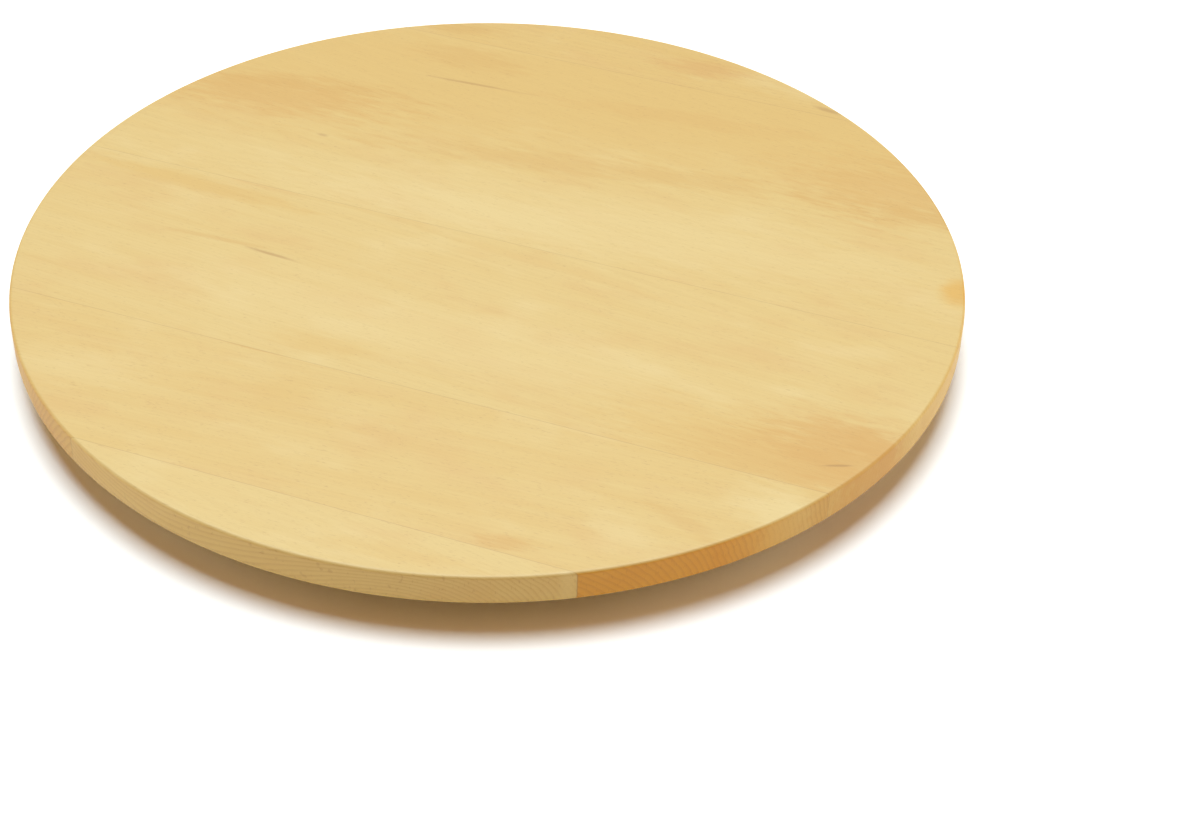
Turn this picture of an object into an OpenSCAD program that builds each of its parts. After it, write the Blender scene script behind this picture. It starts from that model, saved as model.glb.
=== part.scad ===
// Lazy susan turntable: a round glued-up beech board that turns on a smaller beech base.
// A pressed-steel ball bearing, sunk in a round pocket in the base, joins the two.
// Millimetres, +Z up. The origin is on the table, on the axis that the board turns about.

/* [Board] */
// Diameter of the board
board_d = 600; // [500:5:720]
// Thickness of the board
board_t = 20; // [16:0.5:30]
// Radius of the board's top edge
board_top_round = 2; // [0.5:0.5:5]
// Radius of the board's bottom edge
board_bottom_round = 3; // [0.5:0.5:6]
// Turn of the board's grain about the axis, in degrees
board_grain_turn = -22.4; // [-90:0.1:90]
// Glue joints of the board across its grain, as shares of its radius, rising
board_joints = [-0.855, -0.473, 0.067, 0.82]; // [-0.95:0.001:0.95]

/* [Base] */
// Diameter of the base
base_d = 365; // [304:1:440]
// Thickness of the base
base_t = 16; // [13:0.5:24]
// Radius of the base's top edge
base_top_round = 1; // [0.5:0.5:3]
// Radius of the base's bottom edge
base_bottom_round = 3; // [0.5:0.5:5]
// Turn of the base's grain about the axis, in degrees
base_grain_turn = 31; // [-90:1:90]
// Glue joints of the base across its grain, as shares of its radius, rising
base_joints = [-0.54, -0.03, 0.47]; // [-0.9:0.01:0.9]
// Diameter of the hole that a screwdriver reaches the board's screws through
access_d = 20; // [14:1:26]

/* [Feet] */
// Number of rubber feet
foot_count = 6; // [3:1:8]
// Diameter of a foot
foot_d = 22; // [14:1:30]
// Height of a foot
foot_h = 2; // [1:0.5:5]
// Chamfer of a foot's lower edge
foot_chamfer = 0.6; // [0.2:0.1:0.8]
// Distance from the base's edge to a foot's centre
foot_inset = 23; // [20:1:40]

/* [Bearing] */
// Side of the bearing's square plates
plate_side = 203; // [169:1:244]
// Sheet thickness of the plates
plate_t = 1.2; // [1:0.1:1.4]
// Corner radius of the plates
plate_corner = 14; // [6:1:20]
// Height of the whole bearing
bearing_h = 8; // [7.6:0.1:10]
// Gap between the base's top and the board's underside
running_gap = 2; // [1.6:0.1:4]
// Diameter of a ball
ball_d = 4.76; // [4:0.01:5]
// Number of balls
ball_count = 24; // [12:1:36]
// Distance from a plate's straight edge in to the circle that the balls run on
race_inset = 21.5; // [16:0.5:26]
// Thickness of the cage that spaces the balls
cage_t = 0.5; // [0.3:0.1:0.6]
// Width of the cage's ring
cage_w = 10; // [8:0.5:11]

/* [Screws] */
// Distance from a plate's straight edge in to its screw holes
hole_inset = 12.5; // [10:0.5:16]
// Shank diameter of the screws
screw_d = 3.5; // [3:0.1:4]
// Diameter of the screws' pan heads
head_d = 7; // [6:0.1:8]
// Height of the screws' pan heads
head_h = 2; // [1.5:0.1:2.2]
// Length of the screws in the board
board_screw_len = 12; // [8:0.5:14]
// Wood left between a base screw's tip and the base's underside
base_screw_rest = 1.5; // [1:0.5:3]

/* [Fits] */
// Clearance round each ball, in its races and in the cage
ball_clearance = 0.1; // [0.05:0.01:0.2]
// Gap between the raised rings of the two plates, where the cage runs
ring_gap = 0.8; // [0.7:0.05:1]
// Radial clearance between the lower plate's collar and the upper plate
collar_clearance = 0.3; // [0.2:0.05:0.6]
// Clearance round the bearing plate's corners in the base's pocket
pocket_clearance = 2; // [1:0.5:6]
// Radial clearance of a screw in its plate's hole
plate_hole_clearance = 0.4; // [0.2:0.1:0.8]
// Radial clearance of a screw in its pilot hole
pilot_clearance = 0.02; // [0.01:0.01:0.05]

/* [Hidden] */
$fn = 96;
eps = 0.01;

// Heights of the stack, from the table up
base_z = foot_h;
base_top = base_z + base_t;
board_z = base_top + running_gap;
pocket_z = board_z - bearing_h;
pocket_floor_t = pocket_z - base_z;
ball_z = pocket_z + bearing_h / 2;

// Straight steps that a rounded edge is made of
round_steps = 6;

board_r = board_d / 2;
base_r = base_d / 2;
board_staves = len(board_joints) + 1;
base_staves = len(base_joints) + 1;

// The bearing, from the ball circle outwards and inwards
ball_r = ball_d / 2;
race_r = plate_side / 2 - race_inset;
groove_r = ball_r + ball_clearance;
ring_w_out = 6;
ring_slope_w = 3;
ring_w_in = 12;
flat_in = race_r + ring_w_out + ring_slope_w;
collar_r = race_r - ring_w_in;
upper_bore_r = collar_r + collar_clearance;
ring_top = (bearing_h - ring_gap) / 2;
lip_w = 2.6;
lip_z = bearing_h - ring_top + plate_t + collar_clearance;

plate_reach = plate_side / sqrt(2) - plate_corner * (sqrt(2) - 1);
pocket_r = plate_reach + pocket_clearance;
hole_at = plate_side / 2 - hole_inset;
hole_orbit = hole_at * sqrt(2);
base_screw_len = pocket_floor_t + plate_t - base_screw_rest;
upper_plate_turn = 45;
foot_orbit = base_r - foot_inset;
first_foot_turn = 15;

// Screw tips and cross slots
tip_len = 2.5;
tip_flat_r = 0.4;
cross_w = 0.9;
cross_l = 3.6;
cross_depth = 1.3;
dome = 0.5;

beech = "#E9CF98";
beech_dark = "#D9B67A";
zinc = "#B9BEC2";
steel = "#D5D8DB";
nylon = "#E8E6DC";
rubber = "#2B2B2B";

// Points of an arc of that centre and radius, from angle a0 to a1
function arc(centre, r, a0, a1) = [
    for (k = [0:round_steps]) let (a = a0 + (a1 - a0) * k / round_steps) centre + r * [cos(a), sin(a)]
];

// A disc from z = 0 up, with rounded top and bottom edges
module rounded_disc(r, t, top_round, bottom_round) {
    rotate_extrude($fn = 360) polygon(concat(
        [[0, 0]],
        arc([r - bottom_round, bottom_round], bottom_round, -90, 0),
        arc([r - top_round, t - top_round], top_round, 0, 90),
        [[0, t]]
    ));
}

// The strip of wood between two neighbouring glue joints, number i from the first
module strip(i, joints, r, t) {
    low = i == 1 ? -r - 1 : joints[i - 2] * r;
    high = i == len(joints) + 1 ? r + 1 : joints[i - 1] * r;
    translate([-r - 1, low, -1]) cube([2 * r + 2, high - low, t + 2]);
}

// Places its children at the four screw holes of a bearing plate
module at_plate_holes() {
    for (x = [-1, 1], y = [-1, 1]) {
        translate([x * hole_at, y * hole_at, 0]) children();
    }
}

// A pan-head wood screw along +Z: the head's underside is at z = 0 and the shank goes up
module wood_screw(len) {
    difference() {
        union() {
            translate([0, 0, -head_h + dome]) cylinder(d = head_d, h = head_h - dome, $fn = 48);
            translate([0, 0, -head_h]) cylinder(d1 = head_d - 2 * dome, d2 = head_d, h = dome, $fn = 48);
            cylinder(d = screw_d, h = len - tip_len, $fn = 48);
            translate([0, 0, len - tip_len])
                cylinder(r1 = screw_d / 2, r2 = tip_flat_r, h = tip_len, $fn = 48);
        }
        for (turn = [0, 90]) {
            rotate([0, 0, turn]) translate([-cross_l / 2, -cross_w / 2, -head_h - 1])
                cube([cross_l, cross_w, cross_depth + 1]);
        }
    }
}

// The hole that a screw of that length makes in the wood above z = 0
module pilot_hole(len) {
    translate([0, 0, -1]) cylinder(r = screw_d / 2 + pilot_clearance, h = len + 1 + eps, $fn = 48);
}

// Board
module board_stave(i) {
    color(i % 2 == 0 ? beech : beech_dark)
    difference() {
        translate([0, 0, board_z]) rotate([0, 0, board_grain_turn]) intersection() {
            rounded_disc(board_r, board_t, board_top_round, board_bottom_round);
            strip(i, board_joints, board_r, board_t);
        }
        translate([0, 0, board_z]) rotate([0, 0, upper_plate_turn]) at_plate_holes()
            pilot_hole(board_screw_len - plate_t);
    }
}

// Base, with the bearing's pocket, the screws' pilot holes and the screwdriver hole
module base_stave(i) {
    color(i % 2 == 0 ? beech_dark : beech)
    difference() {
        translate([0, 0, base_z]) rotate([0, 0, base_grain_turn]) intersection() {
            rounded_disc(base_r, base_t, base_top_round, base_bottom_round);
            strip(i, base_joints, base_r, base_t);
        }
        translate([0, 0, pocket_z]) cylinder(r = pocket_r, h = base_t, $fn = 360);
        translate([hole_orbit, 0, base_z - 1]) cylinder(d = access_d, h = base_t, $fn = 72);
        translate([0, 0, pocket_z]) at_plate_holes() mirror([0, 0, 1])
            pilot_hole(base_screw_len - plate_t);
    }
}

module foot(i) {
    turn = first_foot_turn + 360 / foot_count * (i - 1);
    color(rubber)
    rotate([0, 0, turn]) translate([foot_orbit, 0, 0]) {
        translate([0, 0, foot_chamfer]) cylinder(d = foot_d, h = foot_h - foot_chamfer, $fn = 72);
        cylinder(d1 = foot_d - 2 * foot_chamfer, d2 = foot_d, h = foot_chamfer, $fn = 72);
    }
}

// Bearing plates. The section is drawn with the sheet's flat on z = 0 and the races facing up
module plate_flat() {
    difference() {
        linear_extrude(plate_t) {
            square([plate_side, plate_side - 2 * plate_corner], center = true);
            square([plate_side - 2 * plate_corner, plate_side], center = true);
            for (x = [-1, 1], y = [-1, 1]) {
                translate([x, y] * (plate_side / 2 - plate_corner)) circle(plate_corner, $fn = 72);
            }
        }
        translate([0, 0, -1]) cylinder(r = flat_in, h = plate_t + 2, $fn = 180);
        translate([0, 0, -1]) at_plate_holes()
            cylinder(r = screw_d / 2 + plate_hole_clearance, h = plate_t + 2, $fn = 48);
    }
}

// The pressed ring that rises from the flat and holds the ball groove, from r_in outwards
module race_section(r_in) {
    slope_in = race_r + ring_w_out;
    difference() {
        union() {
            translate([r_in, ring_top - plate_t]) square([slope_in - r_in, plate_t]);
            polygon([
                [slope_in, ring_top], [slope_in, ring_top - plate_t], [flat_in, 0], [flat_in, plate_t]
            ]);
            intersection() {
                translate([race_r, bearing_h / 2]) circle(groove_r + plate_t, $fn = 96);
                translate([race_r - groove_r - plate_t, 0]) square([2 * (groove_r + plate_t), ring_top]);
            }
        }
        translate([race_r, bearing_h / 2]) circle(groove_r, $fn = 96);
    }
}

// Lower plate: its collar passes up through the upper plate, and its lip keeps the two together
module bearing_lower_plate() {
    color(zinc)
    translate([0, 0, pocket_z]) {
        plate_flat();
        rotate_extrude($fn = 360) {
            race_section(collar_r - plate_t);
            translate([collar_r - plate_t, ring_top - plate_t])
                square([plate_t, lip_z + plate_t - ring_top + plate_t]);
            translate([collar_r - plate_t, lip_z]) square([plate_t + lip_w, plate_t]);
        }
    }
}

// Upper plate: the same pressing upside down, turned half way between the lower plate's corners
module bearing_upper_plate() {
    color(zinc)
    translate([0, 0, board_z]) rotate([0, 0, upper_plate_turn]) mirror([0, 0, 1]) {
        plate_flat();
        rotate_extrude($fn = 360) race_section(upper_bore_r);
    }
}

module ball_cage() {
    color(nylon)
    translate([0, 0, ball_z - cage_t / 2]) difference() {
        cylinder(r = race_r + cage_w / 2, h = cage_t, $fn = 180);
        translate([0, 0, -1]) cylinder(r = race_r - cage_w / 2, h = cage_t + 2, $fn = 180);
        for (k = [0:ball_count - 1]) {
            rotate([0, 0, k * 360 / ball_count]) translate([race_r, 0, -1])
                cylinder(r = ball_r + ball_clearance, h = cage_t + 2, $fn = 36);
        }
    }
}

module bearing_balls() {
    color(steel)
    for (k = [0:ball_count - 1]) {
        rotate([0, 0, k * 360 / ball_count]) translate([race_r, 0, ball_z]) sphere(ball_r, $fn = 24);
    }
}

// Screws that hold the lower plate down on the floor of the pocket
module base_plate_screws() {
    color(steel)
    translate([0, 0, pocket_z + plate_t]) at_plate_holes() mirror([0, 0, 1]) wood_screw(base_screw_len);
}

// Screws that hold the upper plate up against the board
module board_plate_screws() {
    color(steel)
    translate([0, 0, board_z - plate_t]) rotate([0, 0, upper_plate_turn]) at_plate_holes()
        wood_screw(board_screw_len);
}

for (i = [1:board_staves]) {
    board_stave(i);
}
for (i = [1:base_staves]) {
    base_stave(i);
}
for (i = [1:foot_count]) {
    foot(i);
}
bearing_lower_plate();
bearing_upper_plate();
ball_cage();
bearing_balls();
base_plate_screws();
board_plate_screws();
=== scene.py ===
"""A round beech turntable: the looks of its board, base, feet, bearing and screws, and the studio."""

import math

import bmesh
import bpy
import numpy as np
from bpy.props import FloatProperty, FloatVectorProperty, PointerProperty
from mathutils import Matrix, Vector


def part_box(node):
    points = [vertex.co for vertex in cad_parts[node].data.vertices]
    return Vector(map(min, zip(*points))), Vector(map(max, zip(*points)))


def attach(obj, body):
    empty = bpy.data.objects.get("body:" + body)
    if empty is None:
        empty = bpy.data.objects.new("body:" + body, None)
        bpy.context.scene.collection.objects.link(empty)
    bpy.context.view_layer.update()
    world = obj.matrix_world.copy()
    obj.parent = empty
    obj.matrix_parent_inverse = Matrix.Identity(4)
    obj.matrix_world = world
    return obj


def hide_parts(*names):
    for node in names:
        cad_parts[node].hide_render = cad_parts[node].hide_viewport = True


bl_info = {
    "name": "Lazy Susan Turntable",
    "version": (1, 0, 0),
    "blender": (4, 5, 0),
    "location": "3D View > Sidebar > Turntable",
    "description": "Builds a beech turntable's staves, feet and finishes round its CAD frame",
    "category": "Object",
}

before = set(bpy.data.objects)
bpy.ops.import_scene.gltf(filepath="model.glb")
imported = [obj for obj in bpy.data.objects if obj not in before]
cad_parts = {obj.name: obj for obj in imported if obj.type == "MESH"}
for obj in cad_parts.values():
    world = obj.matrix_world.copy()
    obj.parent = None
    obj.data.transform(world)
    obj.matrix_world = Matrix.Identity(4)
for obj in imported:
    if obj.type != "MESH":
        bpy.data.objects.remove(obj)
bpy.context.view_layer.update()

MM = 0.001
BOARD_BODY, BASE_BODY = "turntable", "base"
PALE, TAN = (0.511, 0.380, 0.150), (0.488, 0.329, 0.105)


def node_names(prefix):
    """The CAD nodes whose names start with prefix, in the order of their numbers."""
    return sorted((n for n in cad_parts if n.startswith(prefix)), key=lambda n: int(n.rsplit("_", 1)[1]))


def span(names):
    """The lowest and highest corner of several CAD nodes together."""
    boxes = [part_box(n) for n in names]
    low = Vector(min(b[0][i] for b in boxes) for i in range(3))
    high = Vector(max(b[1][i] for b in boxes) for i in range(3))
    return low, high


def across_span(name, turn):
    """The lowest and highest place of a stave across its grain, from its mesh: its two glue joints."""
    points = np.empty(len(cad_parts[name].data.vertices) * 3, np.float32)
    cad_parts[name].data.vertices.foreach_get("co", points)
    across = points.reshape(-1, 3) @ np.array([-math.sin(turn), math.cos(turn), 0])
    return float(across.min()), float(across.max())


BOARD_NODES, BASE_NODES, FOOT_NODES = (node_names(p) for p in ("board_stave_", "base_stave_", "foot_"))
BOARD_LOW, BOARD_HIGH = span(BOARD_NODES)

THREAD_D, HEAD_D, HEAD_H = 3.5 * MM, 7 * MM, 2 * MM
PILOT_CLEARANCE = 0.02 * MM
BIT_COLUMNS = 32
UPPER_PLATE_TURN = math.radians(45)


def screw_places(name, turn):
    """Where a group of four screws stands, (x, y), from its box and the turn of its plate."""
    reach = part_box(name)[1][0] - HEAD_D / 2
    across = reach if turn == 0 else reach / math.sqrt(2)
    c, s = math.cos(turn), math.sin(turn)
    return [(x * c - y * s, x * s + y * c) for x in (-across, across) for y in (-across, across)]


# ---------------------------------------------------------------- settings

class BoardSettings(bpy.types.PropertyGroup):
    """Sizes and colours of the board."""

    radius: FloatProperty(name="Radius", description="Radius of the board", unit="LENGTH",
                          default=(BOARD_HIGH.y - BOARD_LOW.y) / 2)
    top_round: FloatProperty(name="Top Round", description="Radius of the top edge", unit="LENGTH",
                             default=2 * MM)
    bottom_round: FloatProperty(name="Bottom Round", description="Radius of the bottom edge",
                                unit="LENGTH", default=3 * MM)
    grain_turn: FloatProperty(name="Grain Turn", description="Turn of the grain about the axis",
                              unit="ROTATION", default=math.radians(-22.4))
    pale: FloatVectorProperty(name="Pale Wood", description="Colour of the palest beech",
                              subtype="COLOR", size=3, default=PALE)
    tan: FloatVectorProperty(name="Tan Wood", description="Colour of the warmer beech",
                             subtype="COLOR", size=3, default=TAN)


class BaseSettings(bpy.types.PropertyGroup):
    """The base's grain, and the shapes of its feet and screws."""

    grain_turn: FloatProperty(name="Base Grain Turn", description="Turn of the base's grain about the axis",
                              unit="ROTATION", default=math.radians(31))
    foot_round: FloatProperty(name="Foot Round", description="Radius of a foot's lower edge",
                              unit="LENGTH", default=0.9 * MM)
    foot_hollow: FloatProperty(name="Foot Hollow", description="Depth of the hollow under a foot",
                               unit="LENGTH", default=0.3 * MM)
    core_share: FloatProperty(name="Screw Core", description="Core of a screw, as a share of its thread",
                              subtype="FACTOR", default=0.66)
    pitch: FloatProperty(name="Screw Pitch", description="Rise of a screw's thread in one turn",
                         unit="LENGTH", default=1.4 * MM)
    cross_depth: FloatProperty(name="Cross Depth", description="Depth of the cross in a screw's head",
                               unit="LENGTH", default=1.2 * MM)


class StageSettings(bpy.types.PropertyGroup):
    """The camera, the light and the floor."""

    distance: FloatProperty(name="Distance", description="From the turntable's foot to the camera",
                            unit="LENGTH", default=1.5704)
    elevation: FloatProperty(name="Elevation", description="Height of the camera over the table",
                             unit="ROTATION", default=math.radians(36.21))
    pan: FloatProperty(name="Pan", description="Turn of the camera to the right",
                       unit="ROTATION", default=math.radians(3.271))
    tilt: FloatProperty(name="Tilt", description="How far the camera looks below the table's centre",
                        unit="ROTATION", default=math.radians(2.479))
    roll: FloatProperty(name="Roll", description="Turn of the camera about its own line of sight",
                        unit="ROTATION", default=math.radians(1.841))
    lens: FloatProperty(name="Lens", description="Focal length on a 36 mm wide sensor",
                        subtype="DISTANCE_CAMERA", default=72.87)
    sun_strength: FloatProperty(name="Soft Light", description="Strength of the large soft light",
                                default=4.75)
    side_strength: FloatProperty(name="Side Light", description="Strength of the low light on the rim",
                                 default=2.0)
    sky_strength: FloatProperty(name="Fill Light", description="Strength of the light all round",
                                default=0.30)


# ---------------------------------------------------------------- meshes

def new_piece(name, vertices, faces, smooth=True):
    """A mesh object from an array of points and a list of faces, in the frame's own place."""
    mesh = bpy.data.meshes.new(name)
    mesh.from_pydata(vertices.tolist(), [], faces)
    mesh.validate()
    mesh.update()
    mesh.shade_smooth() if smooth else mesh.shade_flat()
    piece = bpy.data.objects.new(name, mesh)
    bpy.context.scene.collection.objects.link(piece)
    return piece


def arc(centre_r, centre_z, radius, start, end, steps):
    """Points (radius, height) of a quarter arc: centre + radius * (cos a, sin a), a from start to end."""
    a = np.radians(np.linspace(start, end, steps + 1))
    return np.column_stack([centre_r + radius * np.cos(a), centre_z + radius * np.sin(a)])


def edge_profile(radius, low, high, top_round, bottom_round, steps=10, margin=1.5 * MM):
    """The section of a round-edged disc from its flat underside, round its rim, to its flat top.

    A bottom quarter arc, the upright rim between the arcs, and a top quarter arc, with one more
    point on each flat so that the flats stay flat where their normals are smoothed."""
    bottom = arc(radius - bottom_round, low + bottom_round, bottom_round, -90, 0, steps)
    top = arc(radius - top_round, high - top_round, top_round, 0, 90, steps)
    start = [[radius - bottom_round - margin, low]]
    end = [[radius - top_round - margin, high]]
    return np.vstack([start, bottom, top, end])


def stave_piece(name, profile, v_low, v_high, turn, columns):
    """One stave of a round board: the part of the disc between two glue joints.

    Each ring k of the profile has radius r_k. Along it the angle runs evenly from asin(v_low / r_k)
    to asin(v_high / r_k), which gives the right-hand rim (r cos a, r sin a), and its mirror image
    in u gives the left-hand rim. Both end exactly on the joints. Flats join right to left."""
    r, z = profile[:, :1], profile[:, 1:]
    t = np.linspace(0, 1, columns + 1)
    a_low, a_high = (np.arcsin(np.clip(v / r, -1, 1)) for v in (v_low, v_high))
    a = a_low + (a_high - a_low) * t
    u, v, height = r * np.cos(a), r * np.sin(a), np.broadcast_to(z, a.shape)
    c, s = math.cos(turn), math.sin(turn)
    sides = [np.stack([c * w - s * v, s * w + c * v, height], -1).reshape(-1, 3) for w in (u, -u)]
    right = np.arange(a.size).reshape(a.shape)
    left = right + a.size
    quads = [(right[:-1, :-1], right[:-1, 1:], right[1:, 1:], right[1:, :-1]),
             (left[:-1, :-1], left[1:, :-1], left[1:, 1:], left[:-1, 1:]),
             (right[-1, :-1], right[-1, 1:], left[-1, 1:], left[-1, :-1]),
             (right[0, :-1], left[0, :-1], left[0, 1:], right[0, 1:]),
             (right[:-1, 0], right[1:, 0], left[1:, 0], left[:-1, 0]),
             (right[:-1, -1], left[:-1, -1], left[1:, -1], right[1:, -1])]
    faces = np.vstack([np.stack(q, -1).reshape(-1, 4) for q in quads])
    return new_piece(name, np.vstack(sides), faces.tolist())


def tidy_mesh(piece, merge=1e-7, sharp_angle=35):
    """Welds doubled points, drops faces with no area, points the rest outwards and keeps hard edges hard."""
    bm = bmesh.new()
    bm.from_mesh(piece.data)
    bmesh.ops.remove_doubles(bm, verts=bm.verts, dist=merge)
    bmesh.ops.dissolve_degenerate(bm, edges=bm.edges, dist=merge)
    bmesh.ops.recalc_face_normals(bm, faces=bm.faces)
    for edge in bm.edges:
        edge.smooth = len(edge.link_faces) == 2 and edge.calc_face_angle() < math.radians(sharp_angle)
    bm.to_mesh(piece.data)
    bm.free()


def ring_faces(rows, columns):
    """The faces of a closed skin of rings: a quad for each step along and round, and one face on each end."""
    index = np.arange(rows * columns).reshape(rows, columns)
    across = np.roll(index, -1, axis=1)
    quads = np.stack([index[:-1], across[:-1], across[1:], index[1:]], -1).reshape(-1, 4)
    return quads.tolist() + [index[0, ::-1].tolist(), index[-1].tolist()]


def turned_piece(name, profile, centre, columns=72):
    """A profile of (radius, height) turned round an upright line through centre, closed at both ends.

    A point of the surface is centre + (r_k cos a, r_k sin a, z_k), with k along the profile and a
    round the circle. The first and the last ring are closed with one face each."""
    a = np.linspace(0, 2 * np.pi, columns, endpoint=False)
    r, z = profile[:, :1], profile[:, 1:]
    points = np.stack([centre[0] + r * np.cos(a), centre[1] + r * np.sin(a),
                       np.broadcast_to(centre[2] + z, (len(r), columns))], -1)
    return new_piece(name, points.reshape(-1, 3), ring_faces(len(r), columns))


def drill(piece, places, radius, low, high):
    """Cuts upright round holes from height low to height high into a piece, at the given (x, y)."""
    for x, y in places:
        bit = turned_piece("drill_bit", np.array([[radius, low], [radius, high]]), (x, y, 0), BIT_COLUMNS)
        cut = piece.modifiers.new("hole", "BOOLEAN")
        cut.object, cut.operation, cut.solver = bit, "DIFFERENCE", "EXACT"
        bpy.context.view_layer.update()
        drilled = piece.evaluated_get(bpy.context.evaluated_depsgraph_get())
        mesh = bpy.data.meshes.new_from_object(drilled)
        piece.modifiers.clear()
        piece.data = mesh
        bpy.data.objects.remove(bit)


# ---------------------------------------------------------------- shader helpers

def node(tree, kind, inputs=(), **settings):
    """A new node with its settings, whose inputs are set to values or linked to sockets."""
    made = tree.nodes.new(kind)
    for key, value in settings.items():
        setattr(made, key, value)
    for key, value in dict(inputs).items():
        if isinstance(value, bpy.types.NodeSocket):
            tree.links.new(value, made.inputs[key])
        else:
            made.inputs[key].default_value = value
    return made


def calc(tree, operation, a, b=0.0, c=0.0, clamp=False):
    """The result of a Math node."""
    return node(tree, "ShaderNodeMath", {0: a, 1: b, 2: c}, operation=operation, use_clamp=clamp).outputs[0]


def vector_calc(tree, operation, a, b=(0, 0, 0), output=0):
    """The result of a Vector Math node."""
    return node(tree, "ShaderNodeVectorMath", {0: a, 1: b}, operation=operation).outputs[output]


def fade(tree, value, start, end, low=0.0, high=1.0):
    """A smooth step: low up to start, high from end on. start may be above end."""
    if not isinstance(start, bpy.types.NodeSocket) and start > end:
        start, end, low, high = end, start, high, low
    made = node(tree, "ShaderNodeMapRange", {"Value": value, "From Min": start, "From Max": end,
                                             "To Min": low, "To Max": high},
                interpolation_type="SMOOTHSTEP")
    return made.outputs["Result"]


def stretch(tree, vector, along, across, through):
    """A vector divided so that a pattern's cells measure that much along, across and through the grain."""
    return vector_calc(tree, "MULTIPLY", vector, (1 / along, 1 / across, 1 / through))


def noise(tree, vector, scale=1.0, detail=2.0, roughness=0.5):
    """The value of a Noise texture, about 0.5 on average."""
    made = node(tree, "ShaderNodeTexNoise", {"Vector": vector, "Scale": scale, "Detail": detail,
                                             "Roughness": roughness})
    return made.outputs["Fac"]


def blend_colours(tree, factor, a, b, blend="MIX"):
    """The colour of a Mix node. Plain colours are triples."""
    a, b = (tuple(x) + (1.0,) if not isinstance(x, bpy.types.NodeSocket) else x for x in (a, b))
    return node(tree, "ShaderNodeMix", {0: factor, 6: a, 7: b}, data_type="RGBA", blend_type=blend).outputs[2]


def lay(tree, colour, mask, strength, tint):
    """The colour with a tint laid over it where the mask is, at the given strength."""
    return blend_colours(tree, calc(tree, "MULTIPLY", mask, strength), colour, tint)


def new_group(name, inputs, outputs):
    """An empty shader node group and its input node, with sockets named and typed as listed."""
    tree = bpy.data.node_groups.new(name, "ShaderNodeTree")
    for label, kind, default in inputs:
        socket = tree.interface.new_socket(label, in_out="INPUT", socket_type="NodeSocket" + kind)
        if default is not None:
            socket.default_value = default
    for label, kind in outputs:
        tree.interface.new_socket(label, in_out="OUTPUT", socket_type="NodeSocket" + kind)
    return tree, tree.nodes.new("NodeGroupInput").outputs


def close_group(tree, results):
    """Links each result to the group's output of that name."""
    node(tree, "NodeGroupOutput", results)
    return tree


def use_group(tree, group, inputs):
    """A group node's outputs, with its inputs set."""
    return node(tree, "ShaderNodeGroup", inputs, node_tree=group).outputs


def new_material(name, **shader_values):
    """A material with one Principled BSDF whose constant values are set on its own sockets."""
    material = bpy.data.materials.new(name)
    material.use_nodes = True
    shader = material.node_tree.nodes["Principled BSDF"]
    for key, value in shader_values.items():
        shader.inputs[key.replace("_", " ")].default_value = value
    return material, material.node_tree, shader


def dress(tree, shader, colour, roughness, height=None, strength=0.0, depth=0.0):
    """Links a finish's colour, roughness and, where it has one, the height of its bumps to its shader."""
    tree.links.new(colour, shader.inputs["Base Color"])
    tree.links.new(roughness, shader.inputs["Roughness"])
    if height is not None:
        bump = node(tree, "ShaderNodeBump", {"Height": height, "Strength": strength, "Distance": depth})
        tree.links.new(bump.outputs[0], shader.inputs["Normal"])


# ---------------------------------------------------------------- wood effects, in millimetres of the stave

def growth_rings_group():
    """Growth rings: cylinders round a leaning, wavy pith line that runs along the grain (X)."""
    tree, given = new_group("growth_rings", [
        ("Vector", "Vector", None), ("Pith Across", "Float", 0.0), ("Pith Depth", "Float", -60.0),
        ("Lean", "Float", 0.0), ("Rise", "Float", 0.0), ("Ring Width", "Float", 3.0),
        ("Waviness", "Float", 6.0)], [("Late Wood", "Float"), ("Ring Tone", "Float")])
    axis = node(tree, "ShaderNodeSeparateXYZ", {0: given["Vector"]}).outputs
    broad = stretch(tree, given["Vector"], 260, 70, 50)
    fine = stretch(tree, given["Vector"], 40, 9, 9)
    wander = calc(tree, "SUBTRACT", noise(tree, broad, detail=3), 0.5)
    ripple = calc(tree, "SUBTRACT", noise(tree, fine, detail=1), 0.5)
    wave = calc(tree, "MULTIPLY", calc(tree, "MULTIPLY_ADD", ripple, 0.12, wander), given["Waviness"])
    across = calc(tree, "SUBTRACT", axis["Y"], given["Pith Across"])
    across = calc(tree, "SUBTRACT", across, calc(tree, "MULTIPLY", axis["X"], given["Lean"]))
    depth = calc(tree, "SUBTRACT", axis["Z"], given["Pith Depth"])
    depth = calc(tree, "SUBTRACT", depth, calc(tree, "MULTIPLY", axis["X"], given["Rise"]))
    squares = calc(tree, "MULTIPLY_ADD", across, across, calc(tree, "MULTIPLY", depth, depth))
    radius = calc(tree, "ADD", calc(tree, "SQRT", squares), calc(tree, "MULTIPLY", wave, 2.0))
    ring = calc(tree, "DIVIDE", radius, given["Ring Width"])
    part = calc(tree, "FRACT", ring)
    late = calc(tree, "MULTIPLY", fade(tree, part, 0.35, 0.92), fade(tree, part, 1.0, 0.94))
    tone = node(tree, "ShaderNodeTexWhiteNoise", {"W": calc(tree, "FLOOR", ring)},
                noise_dimensions="1D").outputs["Value"]
    return close_group(tree, {"Late Wood": late, "Ring Tone": tone})


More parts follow.
